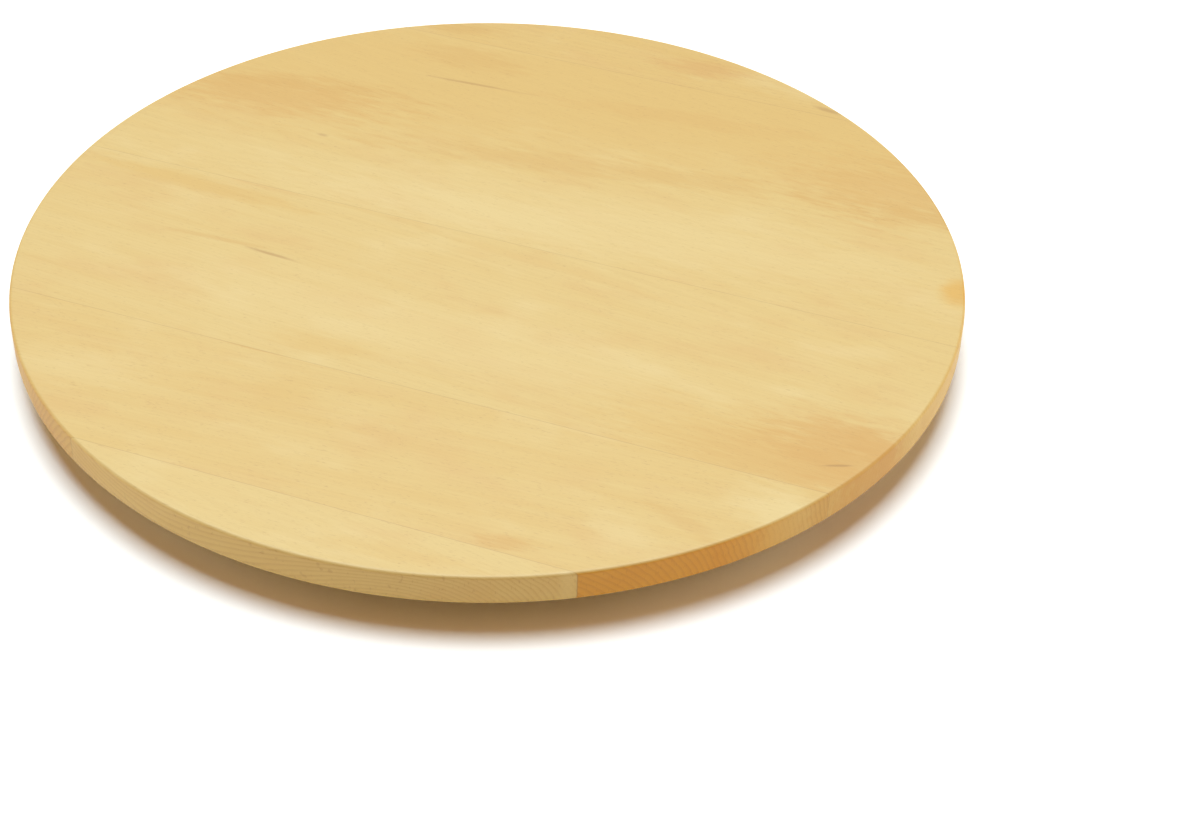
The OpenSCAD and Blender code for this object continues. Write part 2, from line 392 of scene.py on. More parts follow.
def ray_flecks_group():
    """The short dark spindles of beech: thin sheets that lie along the grain and stand upright in it."""
    tree, given = new_group("ray_flecks", [
        ("Vector", "Vector", None), ("Length", "Float", 3.0), ("Width", "Float", 0.5),
        ("Amount", "Float", 0.5)], [("Fleck", "Float")])
    across = calc(tree, "DIVIDE", 1.0, given["Width"])
    along = calc(tree, "DIVIDE", 1.0, given["Length"])
    size = node(tree, "ShaderNodeCombineXYZ", {"X": along, "Y": across, "Z": along}).outputs[0]
    grain = noise(tree, vector_calc(tree, "MULTIPLY", given["Vector"], size), detail=0.5)
    limit = calc(tree, "MULTIPLY_ADD", given["Amount"], -0.22, 0.76)
    fleck = fade(tree, calc(tree, "SUBTRACT", grain, limit), 0.0, 0.10)
    return close_group(tree, {"Fleck": fleck})


def fibre_group():
    """Long soft streaks along the grain, and the fine fibre that a sanded face keeps."""
    tree, given = new_group("fibre", [("Vector", "Vector", None), ("Slant", "Float", 0.0)],
                            [("Streak", "Float"), ("Fibre", "Float")])
    turned = node(tree, "ShaderNodeVectorRotate", {"Vector": given["Vector"], "Angle": given["Slant"]},
                  rotation_type="Z_AXIS").outputs[0]
    streak = noise(tree, stretch(tree, turned, 150, 11, 14), detail=4, roughness=0.55)
    fibre = noise(tree, stretch(tree, turned, 28, 0.7, 0.9), detail=2)
    return close_group(tree, {"Streak": streak, "Fibre": fibre})


def stain_group():
    """A soft-edged oval of another tone, with a ragged outline drawn out along the grain."""
    tree, given = new_group("stain", [
        ("Vector", "Vector", None), ("Centre", "Vector", (0, 0, 0)), ("Turn", "Float", 0.0),
        ("Half Length", "Float", 40.0), ("Half Width", "Float", 10.0), ("Ragged", "Float", 0.5)],
        [("Mask", "Float")])
    offset = vector_calc(tree, "SUBTRACT", given["Vector"], given["Centre"])
    turned = node(tree, "ShaderNodeVectorRotate",
                  {"Vector": offset, "Angle": calc(tree, "MULTIPLY", given["Turn"], -1.0)},
                  rotation_type="Z_AXIS").outputs[0]
    size = node(tree, "ShaderNodeCombineXYZ", {
        "X": calc(tree, "DIVIDE", 1.0, given["Half Length"]),
        "Y": calc(tree, "DIVIDE", 1.0, given["Half Width"])}).outputs[0]
    oval = vector_calc(tree, "LENGTH", vector_calc(tree, "MULTIPLY", turned, size), output="Value")
    rough = noise(tree, stretch(tree, given["Vector"], 22, 4, 6), detail=4, roughness=0.6)
    rough = calc(tree, "MULTIPLY", calc(tree, "SUBTRACT", rough, 0.5), given["Ragged"])
    mask = fade(tree, calc(tree, "MULTIPLY_ADD", rough, 2.0, oval), 1.05, 0.25)
    return close_group(tree, {"Mask": mask})


def joint_line_group():
    """A hairline along each edge of a stave, where the glue shows."""
    tree, given = new_group("joint_line", [
        ("Vector", "Vector", None), ("Low", "Float", 0.0), ("High", "Float", 0.0),
        ("Width", "Float", 0.35)], [("Line", "Float")])
    across = node(tree, "ShaderNodeSeparateXYZ", {0: given["Vector"]}).outputs["Y"]
    near = calc(tree, "MINIMUM",
                calc(tree, "ABSOLUTE", calc(tree, "SUBTRACT", across, given["Low"])),
                calc(tree, "ABSOLUTE", calc(tree, "SUBTRACT", across, given["High"])))
    share = calc(tree, "DIVIDE", near, given["Width"])
    return close_group(tree, {"Line": fade(tree, share, 1.0, 0.2)})


def end_grain_group():
    """How far a face is cut across the grain, 0 along it and 1 square across it, and how upright it is."""
    tree, given = new_group("end_grain", [("Normal", "Vector", None), ("Grain", "Vector", (1, 0, 0))],
                            [("Share", "Float"), ("Side", "Float")])
    dot = calc(tree, "ABSOLUTE", vector_calc(tree, "DOT_PRODUCT", given["Normal"], given["Grain"],
                                             output="Value"))
    height = node(tree, "ShaderNodeSeparateXYZ", {0: given["Normal"]}).outputs["Z"]
    side = fade(tree, calc(tree, "ABSOLUTE", height), 0.85, 0.3)
    return close_group(tree, {"Share": fade(tree, dot, 0.12, 0.75), "Side": side})


def mottle_group():
    """Wood's uneven tone: soft ruddy and light clouds, drawn out along the grain (x)."""
    tree, given = new_group("mottle", [
        ("Vector", "Vector", None), ("Color", "Color", (0.5, 0.4, 0.2, 1)), ("Length", "Float", 40.0),
        ("Ruddy", "Color", (0.5, 0.3, 0.1, 1)), ("Light", "Color", (0.6, 0.5, 0.3, 1))],
        [("Color", "Color")])
    stretched = vector_calc(tree, "MULTIPLY", given["Vector"], (1.0, 2.2, 2.2))
    scale = calc(tree, "DIVIDE", 1.0, given["Length"])
    ruddy = noise(tree, stretched, scale=scale, detail=3, roughness=0.6)
    shifted = vector_calc(tree, "ADD", stretched, (1370.0, 290.0, 0.0))
    light = noise(tree, shifted, scale=scale, detail=3, roughness=0.6)
    colour = lay(tree, given["Color"], fade(tree, ruddy, 0.45, 0.75), 0.55, given["Ruddy"])
    colour = lay(tree, colour, fade(tree, light, 0.5, 0.8), 0.5, given["Light"])
    return close_group(tree, {"Color": colour})


def dust_group():
    """Soft broken patches of dust, grease or dulling, of about the given size in metres."""
    tree, given = new_group("dust", [("Vector", "Vector", None), ("Size", "Float", 0.01),
                                     ("Amount", "Float", 0.4)], [("Mask", "Float")])
    scale = calc(tree, "DIVIDE", 1.0, given["Size"])
    patches = noise(tree, given["Vector"], scale=scale, detail=5, roughness=0.65)
    start = calc(tree, "MULTIPLY_ADD", given["Amount"], -0.25, 0.60)
    return close_group(tree, {"Mask": fade(tree, patches, start, calc(tree, "ADD", start, 0.16))})


GROUPS = {}


def shared_groups():
    """The shared effects, built once."""
    if not GROUPS:
        for make in (growth_rings_group, ray_flecks_group, fibre_group, mottle_group, stain_group,
                     joint_line_group, end_grain_group, dust_group):
            group = make()
            GROUPS[group.name] = group
    return GROUPS


# Colours of the wood and of what runs through it.
DARK_STREAK, KNOT, HEARTWOOD, BROWN, AMBER, RUST, CREAM = (
    (0.27, 0.14, 0.040), (0.16, 0.07, 0.022), (0.450, 0.250, 0.062), (0.445, 0.265, 0.070),
    (0.50, 0.280, 0.045), (0.43, 0.205, 0.052), (0.545, 0.430, 0.200))
RUDDY = (0.485, 0.315, 0.112)
LATE_WOOD, FLECK, GLUE = (0.36, 0.215, 0.070), (0.26, 0.145, 0.045), (0.20, 0.11, 0.035)
# Tints that the wood's colour is multiplied by on a stave's side (its upright rim), and on its end grain. The
# rim tints are partly the rim's own warmer tone and partly painted light and shade: the clear one brightens
# the rims of the middle and far staves with painted light, the honey one warms the near staves' rims, and the
# orange one darkens and warms a stretch of them and the base's rim, as painted shade.
HONEY_RIM_TONE_AND_SHADE, CLEAR_RIM_TONE_AND_LIGHT, ORANGE_RIM_TONE_AND_SHADE = (1.06, 1.01, 0.77), (1.12, 1.18, 1.10), (1.12, 0.82, 0.16)
END_TINT = (0.95, 0.84, 0.62)
# Sizes in millimetres, then how strongly the fibre, the flecks and the glue lines show.
MOTTLE_LENGTH, FLECK_LENGTH, FLECK_WIDTH = 75.0, 3.2, 0.5
FIBRE_SHOWS, FLECK_SHOWS, GLUE_SHOWS = 0.10, 0.24, 0.30
# The oiled face's roughness, and what the fibre and the end grain add to it.
OILED_ROUGH, FIBRE_ROUGH, END_ROUGH = 0.46, 0.14, 0.08


def beech_material(name, turn, pale, tan, stave):
    """Sanded and oiled beech, cut from its own place in its own tree. stave holds what differs."""
    groups = shared_groups()
    material, tree, shader = new_material(name, Coat_Weight=0.06, Coat_Roughness=0.40, Coat_IOR=1.48,
                                          IOR=1.45)
    place = node(tree, "ShaderNodeTexCoord").outputs
    wood = node(tree, "ShaderNodeMapping", {"Vector": place["Object"], "Rotation": (0, 0, -turn),
                                            "Scale": (1 / MM, 1 / MM, 1 / MM)}).outputs[0]
    own = vector_calc(tree, "ADD", wood, stave["offset"])
    rings = use_group(tree, groups["growth_rings"], {
        "Vector": wood, "Pith Across": stave["pith"][0], "Pith Depth": stave["pith"][1],
        "Lean": stave["lean"], "Rise": stave["rise"], "Ring Width": stave["ring"],
        "Waviness": stave["wavy"]})
    fibre = use_group(tree, groups["fibre"], {"Vector": own, "Slant": math.radians(stave["slant"])})
    flecks = use_group(tree, groups["ray_flecks"], {"Vector": own, "Length": FLECK_LENGTH,
                                                    "Width": FLECK_WIDTH, "Amount": stave["flecks"]})
    end = use_group(tree, groups["end_grain"], {
        "Normal": place["Normal"], "Grain": (math.cos(turn), math.sin(turn), 0)})
    line = use_group(tree, groups["joint_line"], {"Vector": wood, "Low": stave["low"],
                                                  "High": stave["high"]})

    tone = calc(tree, "MULTIPLY_ADD", fade(tree, fibre["Streak"], 0.3, 0.75), 0.7,
                calc(tree, "MULTIPLY", rings["Ring Tone"], 0.3))
    colour = blend_colours(tree, calc(tree, "MULTIPLY_ADD", tone, stave["contrast"], stave["warmth"],
                                      clamp=True), pale, tan)
    colour = use_group(tree, groups["mottle"], {
        "Vector": own, "Color": colour, "Length": MOTTLE_LENGTH, "Ruddy": (*RUDDY, 1.0),
        "Light": (*CREAM, 1.0)})["Color"]
    late = calc(tree, "MULTIPLY_ADD", end["Side"], stave["rim_rings"], stave["late"])
    colour = lay(tree, colour, rings["Late Wood"], late, LATE_WOOD)
    for centre, reach, angle, ragged, tint, strength in stave["stains"]:
        mask = use_group(tree, groups["stain"], {
            "Vector": wood, "Centre": (*centre, 0), "Turn": math.radians(angle),
            "Half Length": reach[0], "Half Width": reach[1], "Ragged": ragged})["Mask"]
        colour = lay(tree, colour, mask, strength, tint)
    colour = lay(tree, colour, fade(tree, fibre["Fibre"], 0.35, 0.8), FIBRE_SHOWS, LATE_WOOD)
    colour = lay(tree, colour, flecks["Fleck"], FLECK_SHOWS, FLECK)
    # The rim tint and its flush stretch: partly the rim's own tone, partly painted light and shade on the
    # upright faces.
    side = stave["side"]
    if stave.get("flush"):
        tint, centre, half = stave["flush"]
        along = node(tree, "ShaderNodeSeparateXYZ", {0: wood}).outputs["X"]
        away = calc(tree, "ABSOLUTE", calc(tree, "SUBTRACT", along, centre))
        side = blend_colours(tree, fade(tree, away, half * 1.25, half * 0.7), side, tint)
    colour = blend_colours(tree, end["Side"], colour, side, blend="MULTIPLY")
    cut = calc(tree, "MULTIPLY", end["Share"], stave["end"])
    colour = blend_colours(tree, cut, colour, END_TINT, blend="MULTIPLY")
    colour = lay(tree, colour, line["Line"], GLUE_SHOWS, GLUE)

    rough = calc(tree, "MULTIPLY_ADD", fibre["Fibre"], FIBRE_ROUGH, OILED_ROUGH)
    rough = calc(tree, "MULTIPLY_ADD", end["Share"], END_ROUGH, rough)
    height = calc(tree, "MULTIPLY_ADD", flecks["Fleck"], -0.6, fibre["Fibre"])
    height = calc(tree, "MULTIPLY_ADD", line["Line"], -1.5, height)
    dress(tree, shader, colour, rough, height, strength=0.35, depth=0.06 * MM)
    return material


# ---------------------------------------------------------------- the board

# What differs from stave to stave, from the near edge of the board to the far edge, in millimetres along
# the grain (u) and across it (v). pith is the tree's centre line, across and in depth, and lean and rise
# are its slopes. ring and wavy are the rings' width and waviness, slant the fibre's turn in degrees.
# warmth and contrast place the tone between pale and tan; late, rim_rings, flecks and end are strengths.
# side tints the upright rim, partly with the rim's own tone and partly with painted light and shade. flush is
# another tint on a stretch of it, with the middle and half length, also partly painted shade.
# A stain is centre, half sizes, turn in degrees, raggedness, colour and strength.
BOARD_STAVES = [
    dict(pith=(-278, 6), lean=-0.26, rise=0.0, ring=2.3, wavy=5, slant=3, warmth=-0.12, side=HONEY_RIM_TONE_AND_SHADE,
         contrast=0.35, late=0.05, rim_rings=0.26, flecks=0.45, end=0.30, offset=(40, 0, 0), stains=[
             ((153, -260), (9, 5), 0, 0.3, CREAM, 0.7),
             ((60, -278), (70, 9), 4, 0.8, TAN, 0.5)]),
    dict(pith=(-300, 0), lean=0.02, rise=0.01, ring=2.7, wavy=6, slant=-4, warmth=0.26, side=HONEY_RIM_TONE_AND_SHADE,
         flush=(ORANGE_RIM_TONE_AND_SHADE, 165, 75), contrast=0.5, late=0.05, rim_rings=0.32, flecks=0.45, end=0.9,
         offset=(310, 40, 0), stains=[
             ((-150, -139), (62, 2.2), 1, 0.6, HEARTWOOD, 0.45),
             ((-167, -138), (6, 2.4), 8, 0.3, KNOT, 0.6),
             ((-95, -142), (38, 1.6), 0, 0.5, BROWN, 0.5),
             ((112, -248), (22, 9), 12, 0.9, HEARTWOOD, 0.45),
             ((196, -196), (34, 8), -18, 0.9, BROWN, 0.35),
             ((-60, -172), (26, 22), 30, 0.8, TAN, 0.5),
             ((245, -170), (44, 26), -30, 0.6, CREAM, 0.6),
             ((-190, -200), (70, 26), 12, 0.8, CREAM, 0.25)]),
    dict(pith=(30, -6), lean=-0.05, rise=0.02, ring=2.6, wavy=7, slant=5, warmth=0.0, side=CLEAR_RIM_TONE_AND_LIGHT,
         contrast=0.45, late=0.06, rim_rings=0.24, flecks=0.4, end=0.85, offset=(-220, 90, 0), stains=[
             ((0, -88), (280, 40), 1, 0.5, CREAM, 0.30),
             ((-215, 6), (110, 11), -2, 0.7, TAN, 0.9),
             ((205, -122), (130, 52), -3, 0.6, TAN, 0.8),
             ((236, -126), (86, 34), -4, 0.6, HEARTWOOD, 0.32),
             ((272, -102), (84, 46), -5, 0.5, HEARTWOOD, 0.6),
             ((282, -92), (40, 16), -12, 0.8, HEARTWOOD, 0.45),
             ((262, -116), (13, 1.3), 22, 0.4, DARK_STREAK, 0.55),
             ((-130, -49), (26, 2.0), -4, 0.5, DARK_STREAK, 0.5),
             ((-165, -46), (52, 3.0), 3, 0.7, BROWN, 0.4),
             ((-60, -122), (44, 14), 2, 0.8, TAN, 0.6)]),
    dict(pith=(150, -100), lean=0.16, rise=0.03, ring=2.6, wavy=9, slant=9, warmth=0.0, side=CLEAR_RIM_TONE_AND_LIGHT,
         contrast=0.45, late=0.06, rim_rings=0.22, flecks=0.4, end=0.8, offset=(120, -160, 0), stains=[
             ((30, 215), (900, 122), 9, 0.35, TAN, 0.85),
             ((-215, 128), (115, 34), 8, 0.8, HEARTWOOD, 0.45),
             ((-190, 148), (90, 12), 9, 0.9, BROWN, 0.30),
             ((225, 172), (100, 56), 5, 0.8, HEARTWOOD, 0.40),
             ((250, 150), (70, 14), 10, 0.9, BROWN, 0.30),
             ((20, 122), (210, 16), 9, 0.9, BROWN, 0.30),
             ((-107, 222), (56, 20), 4, 0.9, BROWN, 0.35),
             ((60, 205), (120, 14), 6, 1.0, HEARTWOOD, 0.22),
             ((-92, 192), (46, 1.8), 3, 0.5, DARK_STREAK, 0.40),
             ((-161, 91), (6, 2.4), 0, 0.5, DARK_STREAK, 0.40),
             ((-30, 44), (110, 26), 3, 0.6, CREAM, 0.30),
             ((40, 58), (330, 48), 6, 0.5, CREAM, 0.36),
             ((286, 76), (15, 20), 0, 0.4, AMBER, 0.75)]),
    dict(pith=(330, -60), lean=0.1, rise=0.03, ring=2.5, wavy=6, slant=6, warmth=0.60, side=CLEAR_RIM_TONE_AND_LIGHT,
         contrast=0.45, late=0.08, rim_rings=0.22, flecks=0.5, end=0.9, offset=(200, -40, 0), stains=[
             ((-125, 262), (40, 12), 6, 0.8, BROWN, 0.45),
             ((52, 274), (44, 15), 8, 0.8, RUST, 0.35),
             ((150, 254), (16, 3), -8, 0.6, DARK_STREAK, 0.45)]),
]


def joints_beside(name, names, low, high):
    """Where a stave's glue lines run, in millimetres. An outer edge has none, so its line is set far off."""
    away = 1e4
    return {"low": -away if name == names[0] else low / MM,
            "high": away if name == names[-1] else high / MM}


class TURNTABLE_OT_board(bpy.types.Operator):
    """Build the board's staves, each with its own grain"""

    bl_idname = "turntable.board"
    bl_label = "Board"

    def execute(self, context):
        values = context.scene.turntable_board
        profile = edge_profile(values.radius, BOARD_LOW.z, BOARD_HIGH.z, values.top_round,
                               values.bottom_round)
        holes = screw_places("board_plate_screws", UPPER_PLATE_TURN)
        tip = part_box("board_plate_screws")[1][2]
        c, s = math.cos(values.grain_turn), math.sin(values.grain_turn)
        for name, stave in zip(BOARD_NODES, BOARD_STAVES, strict=True):
            low, high = across_span(name, values.grain_turn)
            piece = stave_piece(name + "_wood", profile, low, high, values.grain_turn, columns=96)
            tidy_mesh(piece)
            own = [(x, y) for x, y in holes if low < c * y - s * x < high]
            drill(piece, own, THREAD_D / 2 + PILOT_CLEARANCE, BOARD_LOW.z - MM, tip + PILOT_CLEARANCE)
            tidy_mesh(piece)
            stave = dict(stave, **joints_beside(name, BOARD_NODES, low, high))
            piece.data.materials.append(beech_material(
                "beech_" + name, values.grain_turn, values.pale, values.tan, stave))
            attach(piece, BOARD_BODY)
            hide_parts(name)
        return {"FINISHED"}


# ---------------------------------------------------------------- the base

# Where the base staves' pith lies, in millimetres: from their middle, in depth, and deeper by the stave.
BASE_PITH_SHIFT, BASE_PITH_DEPTH, BASE_PITH_STEP = 14, -46, -9


class TURNTABLE_OT_base(bpy.types.Operator):
    """Finish the base's staves, whose shape is the frame's own"""

    bl_idname = "turntable.base"
    bl_label = "Base"

    def execute(self, context):
        colours, values = context.scene.turntable_board, context.scene.turntable_base
        for number, name in enumerate(BASE_NODES):
            like = BOARD_STAVES[1 + number % 3]
            low, high = across_span(name, values.grain_turn)
            pith = ((low + high) / 2 / MM + BASE_PITH_SHIFT * (-1) ** number,
                    BASE_PITH_DEPTH + BASE_PITH_STEP * number)
            # The base's rim gets the orange tint: partly its own warmer tone, partly painted shade under the
            # board.
            stave = dict(like, pith=pith, lean=0.04, offset=(90 * number, 500, 60), stains=[],
                         warmth=0.45, rim_rings=0.42, side=ORANGE_RIM_TONE_AND_SHADE, flush=None,
                         **joints_beside(name, BASE_NODES, low, high))
            set_material(name, beech_material("beech_" + name, values.grain_turn, colours.pale,
                                              colours.tan, stave))
        return {"FINISHED"}


# ---------------------------------------------------------------- the feet

def set_material(name, material):
    """Gives a CAD node that stays its finish."""
    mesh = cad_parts[name].data
    mesh.materials.clear()
    mesh.materials.append(material)


RUBBER, RUBBER_DUST = (0.018, 0.018, 0.019), (0.075, 0.068, 0.058)
FOOT_TOP_ROUND = 0.25 * MM
# Shares of a foot's radius: the faces that close its middle, and the dish round them.
FOOT_CENTRE, FOOT_DISH = 0.02, 0.72


def rubber_material():
    """Moulded black rubber: a fine pebbled face with dust caught on it."""
    groups = shared_groups()
    material, tree, shader = new_material("foot_rubber", Specular_IOR_Level=0.35)
    place = node(tree, "ShaderNodeTexCoord").outputs["Object"]
    pebble = noise(tree, place, scale=2600, detail=2)
    dust = use_group(tree, groups["dust"], {"Vector": place, "Size": 0.004, "Amount": 0.22})["Mask"]
    colour = blend_colours(tree, dust, RUBBER, RUBBER_DUST)
    rough = calc(tree, "MULTIPLY_ADD", pebble, 0.25, 0.55)
    dress(tree, shader, colour, rough, pebble, strength=0.5, depth=0.05 * MM)
    return material


def foot_profile(radius, height, lower_round, depth):
    """The section of a foot, from its middle underneath, round its edge, to its middle on top.

    Underneath, the height is depth * cos(t pi / 2) ** 2 while the radius grows evenly with t, from the
    small face that closes the middle over FOOT_DISH of the foot's radius. Quarter arcs round both edges."""
    t = np.linspace(0, 1, 9)[:-1, None]
    dish = np.hstack([FOOT_CENTRE * radius + t * FOOT_DISH * radius, depth * np.cos(t * np.pi / 2) ** 2])
    edge = arc(radius - lower_round, lower_round, lower_round, -90, 0, 8)
    top = arc(radius - FOOT_TOP_ROUND, height - FOOT_TOP_ROUND, FOOT_TOP_ROUND, 0, 90, 4)
    return np.vstack([dish, edge, top, [[FOOT_CENTRE * radius, height]]])


class TURNTABLE_OT_feet(bpy.types.Operator):
    """Build the rubber feet, round-edged and slightly hollow underneath"""

    bl_idname = "turntable.feet"
    bl_label = "Feet"

    def execute(self, context):
        values = context.scene.turntable_base
        material = rubber_material()
        for name in FOOT_NODES:
            low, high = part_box(name)
            radius, height = (high[0] - low[0]) / 2, high[2] - low[2]
            profile = foot_profile(radius, height, values.foot_round, values.foot_hollow)
            middle = ((low[0] + high[0]) / 2, (low[1] + high[1]) / 2, low[2])
            piece = turned_piece(name + "_rubber", profile, middle)
            tidy_mesh(piece)
            piece.data.materials.append(material)
            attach(piece, BASE_BODY)
            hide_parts(name)
        return {"FINISHED"}


# ---------------------------------------------------------------- the bearing

PLATE_ZINC, SCREW_ZINC, DULL_ZINC = (0.41, 0.425, 0.44), (0.62, 0.62, 0.61), (0.26, 0.25, 0.235)
STEEL, GREASE = (0.66, 0.67, 0.69), (0.50, 0.44, 0.30)
NYLON, GREASY_NYLON = (0.80, 0.78, 0.69), (0.58, 0.50, 0.33)


def zinc_material(name, tint=PLATE_ZINC, streak=(1, 1, 1)):
    """Bright zinc plating: soft cloudy patches, faint blue and straw tones and fine rolling lines."""
    groups = shared_groups()
    material, tree, shader = new_material(name, Metallic=1.0)
    place = node(tree, "ShaderNodeTexCoord").outputs["Object"]
    cloud = noise(tree, place, scale=55, detail=4, roughness=0.6)
    tinge = noise(tree, place, scale=23, detail=2)
    lines = noise(tree, vector_calc(tree, "MULTIPLY", place, streak), scale=1400, detail=2)
    dull = use_group(tree, groups["dust"], {"Vector": place, "Size": 0.02, "Amount": 0.18})["Mask"]
    colour = blend_colours(tree, fade(tree, tinge, 0.40, 0.64), tuple(0.94 * c for c in tint),
                           (tint[0] * 1.04, tint[1], tint[2] * 0.88))
    colour = lay(tree, colour, fade(tree, cloud, 0.35, 0.7), 0.3, tuple(0.78 * c for c in tint))
    colour = lay(tree, colour, dull, 0.35, DULL_ZINC)
    rough = calc(tree, "MULTIPLY_ADD", cloud, 0.22, 0.20)
    rough = calc(tree, "MULTIPLY_ADD", lines, 0.10, rough)
    rough = calc(tree, "MULTIPLY_ADD", dull, 0.15, rough)
    dress(tree, shader, colour, rough, calc(tree, "ADD", lines, cloud), strength=0.2, depth=0.02 * MM)
    return material


def ball_material():
    """Polished bearing steel with a thin uneven film of grease."""
    material, tree, shader = new_material("polished_balls", Metallic=1.0, Coat_Roughness=0.15)
    place = node(tree, "ShaderNodeTexCoord").outputs["Object"]
    film = fade(tree, noise(tree, place, scale=420, detail=3), 0.42, 0.66)
    dress(tree, shader, lay(tree, STEEL, film, 0.3, GREASE), calc(tree, "MULTIPLY_ADD", film, 0.20, 0.07))
    tree.links.new(calc(tree, "MULTIPLY", film, 0.5), shader.inputs["Coat Weight"])
    return material


def nylon_material():
    """Natural nylon sheet: milky, slightly yellow, with a fine moulded grain and grease by the balls."""
    groups = shared_groups()
    material, tree, shader = new_material("cage_nylon", Subsurface_Weight=0.15, Subsurface_Scale=0.002)
    place = node(tree, "ShaderNodeTexCoord").outputs["Object"]
    grain = noise(tree, place, scale=1500, detail=2)
    smear = use_group(tree, groups["dust"], {"Vector": place, "Size": 0.006, "Amount": 0.5})["Mask"]
    colour = lay(tree, NYLON, smear, 0.5, GREASY_NYLON)
    rough = calc(tree, "MULTIPLY_ADD", smear, -0.18, 0.48)
    dress(tree, shader, colour, rough, grain, strength=0.3, depth=0.02 * MM)
    return material


class TURNTABLE_OT_bearing(bpy.types.Operator):
    """Finish the bearing's plates, cage and balls, whose shapes are the frame's own"""

    bl_idname = "turntable.bearing"
    bl_label = "Bearing"

    def execute(self, context):
        set_material("bearing_lower_plate", zinc_material("zinc_lower_plate", streak=(1, 0.05, 1)))
        set_material("bearing_upper_plate", zinc_material("zinc_upper_plate", streak=(0.05, 1, 1)))
        set_material("ball_cage", nylon_material())
        set_material("bearing_balls", ball_material())
        return {"FINISHED"}


# ---------------------------------------------------------------- the screws

# Shares: of a screw's length, its point; of the pitch, either side of the thread's crest; of the head's
# section and height, its underside and rim. RUN_OUT is the turns over which the thread starts.
POINT_SHARE, CREST_SHARE, RIM_SHARE, RUN_OUT = 0.2, 0.30, 0.30, 1.5
CROSS_HALF_WIDTH, CROSS_SLOPE, CROSS_REACH, CROSS_END = 0.45 * MM, 0.12 * MM, 1.9 * MM, 0.3 * MM


def screw_mesh(length, head_radius, head_height, thread_radius, values, rows=150, columns=60):
    """A pan-head wood screw along +Z, with its head's underside at z = 0.

    The shank is a surface of height z and angle a, with radius core + ridge * (thread - core): the
    ridge is a sharp crest where the phase z / pitch - a / 2 pi is whole, and it fades out at the
    head and at the tip, where the core also narrows to a point. The head is a low dome turned
    round the same axis, with a cross pressed in from above: near the two lines x = 0 and y = 0 the
    dome drops by the cross's depth."""
    a = np.linspace(0, 2 * np.pi, columns, endpoint=False)
    z = np.linspace(0.0, length, rows)[:, None]
    taper = np.clip((length - z) / (length * POINT_SHARE), 0.0, 1.0)
    core_radius = thread_radius * values.core_share
    core = core_radius * taper ** 0.8
    phase = np.abs((z / values.pitch - a / (2 * np.pi) + 0.5) % 1.0 - 0.5)
    start = np.clip(z / (RUN_OUT * values.pitch), 0, 1)
    ridge = np.clip(1 - phase / CREST_SHARE, 0, 1) * start * taper ** 0.5
    r = core + ridge * (thread_radius - core_radius)
    shank = np.stack([r * np.cos(a), r * np.sin(a), np.broadcast_to(z, r.shape)], -1)
    s = np.linspace(0, 1, 34)[:, None]
    rim = np.clip(s / RIM_SHARE, 0, 1)
    dome = np.clip((s - RIM_SHARE) / (1 - RIM_SHARE), 0, 1)
    under = core_radius + (head_radius - core_radius) * np.sin(rim * np.pi / 2)
    radius = np.where(s < RIM_SHARE, under, head_radius * np.cos(dome * np.pi / 2))
    upright = np.clip((s - RIM_SHARE / 2) / (RIM_SHARE / 2), 0, 1)
    height = -head_height * (RIM_SHARE * upright + (1 - RIM_SHARE) * np.sin(dome * np.pi / 2))
    x, y = radius * np.cos(a), radius * np.sin(a)
    near = np.minimum(np.abs(x), np.abs(y))
    slot = np.clip((CROSS_HALF_WIDTH - near) / CROSS_SLOPE, 0, 1)
    slot = slot * np.clip((CROSS_REACH - np.hypot(x, y)) / CROSS_END, 0, 1) * (s > RIM_SHARE)
    head = np.stack([x, y, np.broadcast_to(height, x.shape) + slot * values.cross_depth], -1)
    return np.vstack([head[::-1], shank])


def screws_piece(name, heads, direction, length, head_radius, head_height, thread_radius, values):
    """Screws at the given head places (undersides), pointing up (1) or down (-1)."""
    rings = screw_mesh(length, head_radius, head_height, thread_radius, values)
    rows, columns = rings.shape[:2]
    skin = ring_faces(rows, columns)
    points, faces = [], []
    for number, (x, y, z) in enumerate(heads):
        points.append(rings.reshape(-1, 3) * (1, direction, direction) + (x, y, z))
        faces += [[i + number * rows * columns for i in face] for face in skin]
    return new_piece(name, np.vstack(points), faces)


class TURNTABLE_OT_screws(bpy.types.Operator):
    """Build the bearing's wood screws with real threads and cross-slotted heads"""

    bl_idname = "turntable.screws"
    bl_label = "Screws"

    def execute(self, context):
        values = context.scene.turntable_base
        material = zinc_material("zinc_screws", tint=SCREW_ZINC)
        for name, body, turn, direction in (("base_plate_screws", BASE_BODY, 0, -1),
                                            ("board_plate_screws", BOARD_BODY, UPPER_PLATE_TURN, 1)):
            low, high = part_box(name)
            head_z = high[2] - HEAD_H if direction < 0 else low[2] + HEAD_H
            heads = [(x, y, head_z) for x, y in screw_places(name, turn)]
            piece = screws_piece(name + "_threaded", heads, direction, high[2] - low[2] - HEAD_H,
                                 HEAD_D / 2, HEAD_H, THREAD_D / 2, values)
            tidy_mesh(piece, sharp_angle=50)
            piece.data.materials.append(material)
            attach(piece, body)
            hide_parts(name)
        return {"FINISHED"}


# ---------------------------------------------------------------- the stage

FLOOR_HALF, FLOOR_WHITE = 12.0, (0.97, 0.97, 0.97, 1)
COOL_LIGHT, WARM_LIGHT = (0.755, 0.91, 1.0), (1.0, 0.86, 0.66)
SKY_SEEN, SKY_LIGHT = (1.0, 1.0, 1.0), (1.0, 0.40, 0.02)
SOFT_ANGLE, SIDE_ANGLE, LEFT_SHARE = 44, 50, 0.65
SENSOR_WIDTH = 36


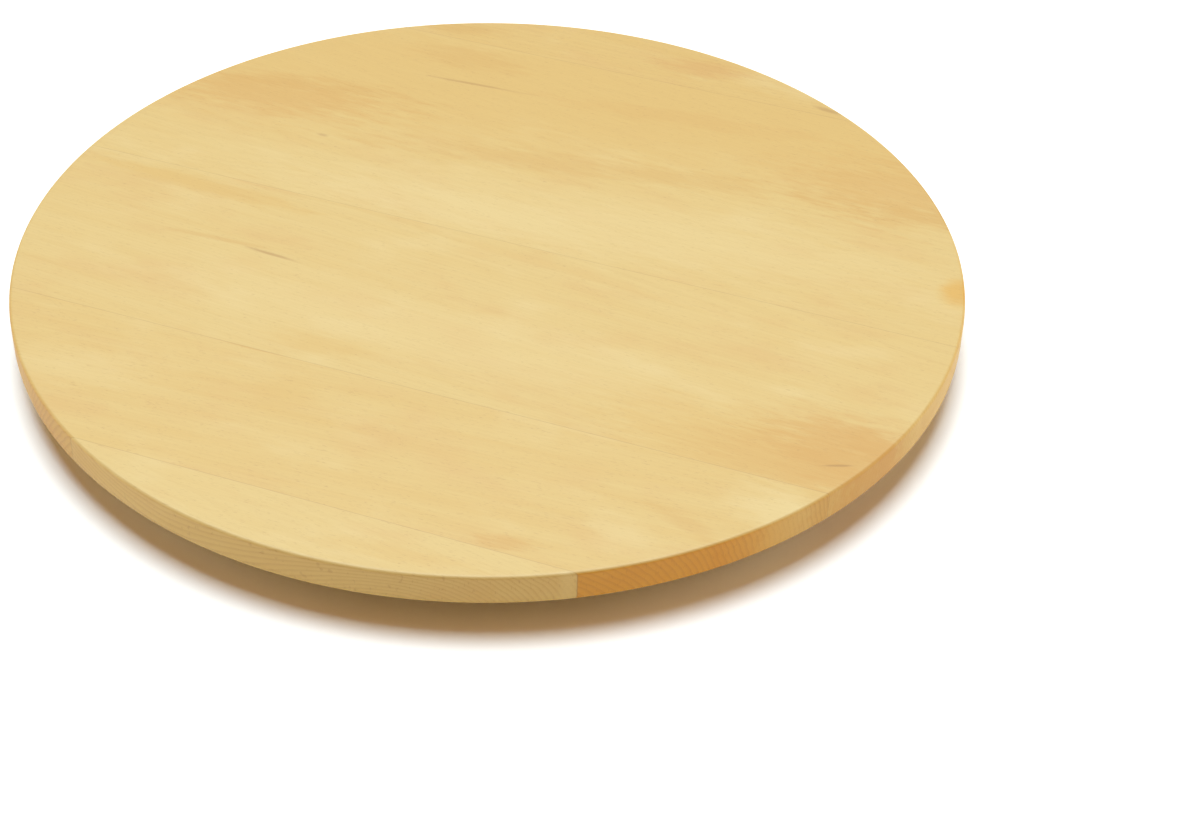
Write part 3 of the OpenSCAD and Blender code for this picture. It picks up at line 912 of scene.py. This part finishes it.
class TURNTABLE_OT_stage(bpy.types.Operator):
    """Set up the floor, the soft light and the camera"""

    bl_idname = "turntable.stage"
    bl_label = "Stage"

    def execute(self, context):
        values = context.scene.turntable_stage
        self.floor()
        self.light(context, values)
        self.camera(context, values)
        context.scene.view_settings.view_transform = "Standard"
        return {"FINISHED"}

    def floor(self):
        """A square of white floor round the middle."""
        corners = np.array([(-1, -1, 0), (1, -1, 0), (1, 1, 0), (-1, 1, 0)]) * FLOOR_HALF
        floor = new_piece("floor", corners, [(0, 1, 2, 3)], smooth=False)
        floor.data.materials.append(new_material("white_floor", Base_Color=FLOOR_WHITE, Roughness=0.9,
                                                 Specular_IOR_Level=0.2)[0])

    def light(self, context, values):
        """A large cool light from above, two low warm ones on the rim, and a warm sky that looks white."""
        for name, strength, softness, turn, colour in (
                ("soft_light", values.sun_strength, SOFT_ANGLE, (-19, -2, 0), COOL_LIGHT),
                ("right_light", values.side_strength, SIDE_ANGLE, (80, 0, 97), WARM_LIGHT),
                ("left_light", values.side_strength * LEFT_SHARE, SIDE_ANGLE, (80, 0, -97),
                 WARM_LIGHT)):
            lamp = bpy.data.lights.new(name, "SUN")
            lamp.energy, lamp.angle, lamp.color = strength, math.radians(softness), colour
            light = bpy.data.objects.new(name, lamp)
            light.rotation_euler = [math.radians(angle) for angle in turn]
            context.scene.collection.objects.link(light)
        world = bpy.data.worlds.new("studio")
        world.use_nodes = True
        tree = world.node_tree
        seen = node(tree, "ShaderNodeLightPath").outputs["Is Camera Ray"]
        strength = calc(tree, "MULTIPLY_ADD", seen, 1.0 - values.sky_strength, values.sky_strength)
        tree.links.new(strength, tree.nodes["Background"].inputs["Strength"])
        colour = blend_colours(tree, seen, SKY_LIGHT, SKY_SEEN)
        tree.links.new(colour, tree.nodes["Background"].inputs["Color"])
        context.scene.world = world

    def camera(self, context, values):
        """The line of sight first meets the middle of the turntable's foot, then pans, tilts and rolls."""
        seat = Vector((0, -math.cos(values.elevation), math.sin(values.elevation))) * values.distance
        down = values.elevation + values.tilt
        ahead = Vector((math.sin(values.pan) * math.cos(down), math.cos(values.pan) * math.cos(down),
                        -math.sin(down)))
        right = Vector((math.cos(values.pan), -math.sin(values.pan), 0))
        up = right.cross(ahead)
        c, s = math.cos(values.roll), math.sin(values.roll)
        right, up = c * right + s * up, c * up - s * right
        lens = bpy.data.cameras.new("camera")
        lens.lens = values.lens
        lens.sensor_width = SENSOR_WIDTH
        camera = bpy.data.objects.new("camera", lens)
        camera.matrix_world = Matrix.Translation(seat) @ Matrix((right, up, -ahead)).transposed().to_4x4()
        context.scene.collection.objects.link(camera)
        context.scene.camera = camera


class TURNTABLE_PT_panel(bpy.types.Panel):
    """Lists the turntable's pieces and settings"""

    bl_label = "Turntable"
    bl_idname = "TURNTABLE_PT_panel"
    bl_space_type = "VIEW_3D"
    bl_region_type = "UI"
    bl_category = "Turntable"

    def draw(self, context):
        scene = context.scene
        for group in (scene.turntable_board, scene.turntable_base, scene.turntable_stage):
            for key in group.__annotations__:
                self.layout.prop(group, key)
        for operator in OPERATORS:
            self.layout.operator(operator.bl_idname)


OPERATORS = (TURNTABLE_OT_board, TURNTABLE_OT_base, TURNTABLE_OT_feet, TURNTABLE_OT_bearing,
             TURNTABLE_OT_screws, TURNTABLE_OT_stage)
CLASSES = (BoardSettings, BaseSettings, StageSettings, *OPERATORS, TURNTABLE_PT_panel)


def register():
    """Adds the classes, and the settings to the scene."""
    for item in CLASSES:
        bpy.utils.register_class(item)
    bpy.types.Scene.turntable_board = PointerProperty(type=BoardSettings)
    bpy.types.Scene.turntable_base = PointerProperty(type=BaseSettings)
    bpy.types.Scene.turntable_stage = PointerProperty(type=StageSettings)


def unregister():
    """Takes the settings and the classes away again."""
    del bpy.types.Scene.turntable_board
    del bpy.types.Scene.turntable_base
    del bpy.types.Scene.turntable_stage
    for item in reversed(CLASSES):
        bpy.utils.unregister_class(item)


def main():
    """Builds every piece and the stage."""
    register()
    bpy.ops.turntable.board()
    bpy.ops.turntable.base()
    bpy.ops.turntable.feet()
    bpy.ops.turntable.bearing()
    bpy.ops.turntable.screws()
    bpy.ops.turntable.stage()


if __name__ == "__main__":
    main()
